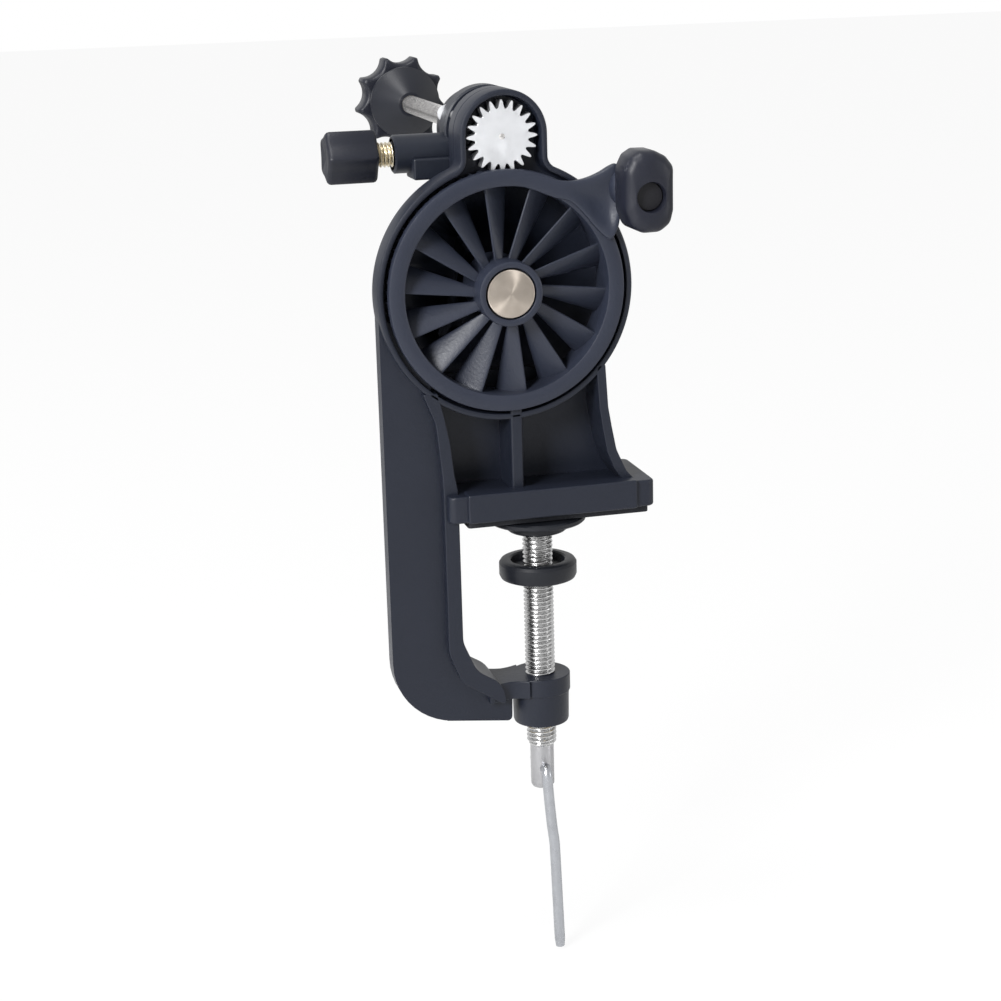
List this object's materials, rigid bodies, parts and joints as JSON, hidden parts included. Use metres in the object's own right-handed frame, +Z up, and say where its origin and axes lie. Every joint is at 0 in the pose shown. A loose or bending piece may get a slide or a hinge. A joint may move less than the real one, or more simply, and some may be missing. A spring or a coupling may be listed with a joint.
{
  "type": "fishing line winder",
  "caption": "Table-clamped fishing line winder: a hand-cranked bladed wheel drives a geared spindle with two cones for the spool, with a brake and a screw clamp.",
  "frame": {"origin": "centre of the jaw pad's underside, on the axis of the clamp screw", "axes": "+X right as seen from the crank side, +Y back along the spindle towards the spool, +Z up along the clamp screw"},
  "size_m": [0.1007, 0.182, 0.2952],
  "materials": {
    "frame_plastic": "fine grain",
    "housing_plastic": "fine grain",
    "wheel_plastic": "satin",
    "grip_plastic": "satin",
    "knob_plastic": "satin",
    "cone_plastic": "satin",
    "foot_plastic": "satin",
    "ring_plastic": "satin",
    "pad_rubber": "matt",
    "bright_steel": "bright, zinc",
    "fastener_steel": "zinc",
    "axle_bronze": "turned",
    "bush_bronze": "sintered",
    "insert_brass": "turned"
  },
  "bodies": {
    "frame": {"c_frame": "frame_plastic", "rear_housing": "housing_plastic", "housing_screws": "fastener_steel", "front_bush": "bush_bronze", "rear_bush": "bush_bronze", "wheel_axle": "axle_bronze", "axle_washer": "fastener_steel", "axle_nut": "fastener_steel", "jaw_pad": "pad_rubber", "clamp_nut": "insert_brass", "brake_nut": "insert_brass"},
    "wheel": {"drive_wheel": "wheel_plastic", "wheel_bush": "bush_bronze", "knob_pin": "fastener_steel", "knob_washer": "fastener_steel"},
    "crank_grip": {"crank_knob": "grip_plastic"},
    "spindle": {"spindle": "bright_steel", "pinion": "bright_steel", "drive_cone": "cone_plastic", "brake_collar": "bright_steel"},
    "outer_cone": {"outer_cone": "cone_plastic", "collet": "bush_bronze"},
    "star": {"star_knob": "knob_plastic", "star_insert": "insert_brass"},
    "brake_plug": {"brake_plug": "bush_bronze"},
    "brake_screw": {"brake_screw": "insert_brass", "brake_knob": "knob_plastic"},
    "clamp_foot": {"clamp_foot": "foot_plastic"},
    "clamp_screw": {"clamp_screw": "bright_steel"},
    "tommy_bar": {"tommy_bar": "bright_steel"},
    "lock_ring": {"lock_ring": "ring_plastic"}
  },
  "joints": [
    {"name": "wheel_turn", "type": "hinge", "parent": "frame", "child": "wheel", "pos_m": [-0.0108, 0, 0.0761], "axis": [0, 1, 0], "continuous": true},
    {"name": "grip_spin", "type": "hinge", "parent": "wheel", "child": "crank_grip", "pos_m": [0.0303, -0.025, 0.1057], "axis": [0, 1, 0], "continuous": true},
    {"name": "spindle_spin", "type": "hinge", "parent": "frame", "child": "spindle", "pos_m": [-0.0108, 0, 0.1243], "axis": [0, 1, 0], "continuous": true},
    {"name": "cone_slide", "type": "slide", "parent": "spindle", "child": "outer_cone", "axis": [0, -1, 0], "range_m": [0, 0.075]},
    {"name": "star_turn", "type": "hinge", "parent": "outer_cone", "child": "star", "pos_m": [-0.0108, 0.14, 0.1243], "axis": [0, 1, 0], "range_deg": [0, 360]},
    {"name": "brake_press", "type": "slide", "parent": "frame", "child": "brake_plug", "axis": [1, 0, 0], "range_m": [-0.005, 0.00025]},
    {"name": "brake_turn", "type": "hinge", "parent": "brake_plug", "child": "brake_screw", "pos_m": [-0.045, 0.0146, 0.1181], "axis": [1, 0, 0], "range_deg": [-1440, 72]},
    {"name": "clamp_close", "type": "slide", "parent": "frame", "child": "clamp_foot", "axis": [0, 0, 1], "range_m": [-0.028, 0]},
    {"name": "clamp_turn", "type": "hinge", "parent": "clamp_foot", "child": "clamp_screw", "pos_m": [0, 0, -0.05], "axis": [0, 0, 1], "range_deg": [-6720, 0]},
    {"name": "bar_swing", "type": "hinge", "parent": "clamp_screw", "child": "tommy_bar", "pos_m": [0, 0, -0.0893], "axis": [0, 1, 0], "range_deg": [-90, 90]},
    {"name": "ring_slide", "type": "slide", "parent": "clamp_screw", "child": "lock_ring", "axis": [0, 0, 1], "range_m": [-0.002, 0.009]}
  ],
  "couplings": [
    {"joint": "spindle_spin", "follows": "wheel_turn", "ratio": -3.5},
    {"joint": "brake_turn", "follows": "brake_press", "rad_per_m": 5026.5},
    {"joint": "clamp_close", "follows": "clamp_turn", "m_per_rad": 0.00023873}
  ]
}
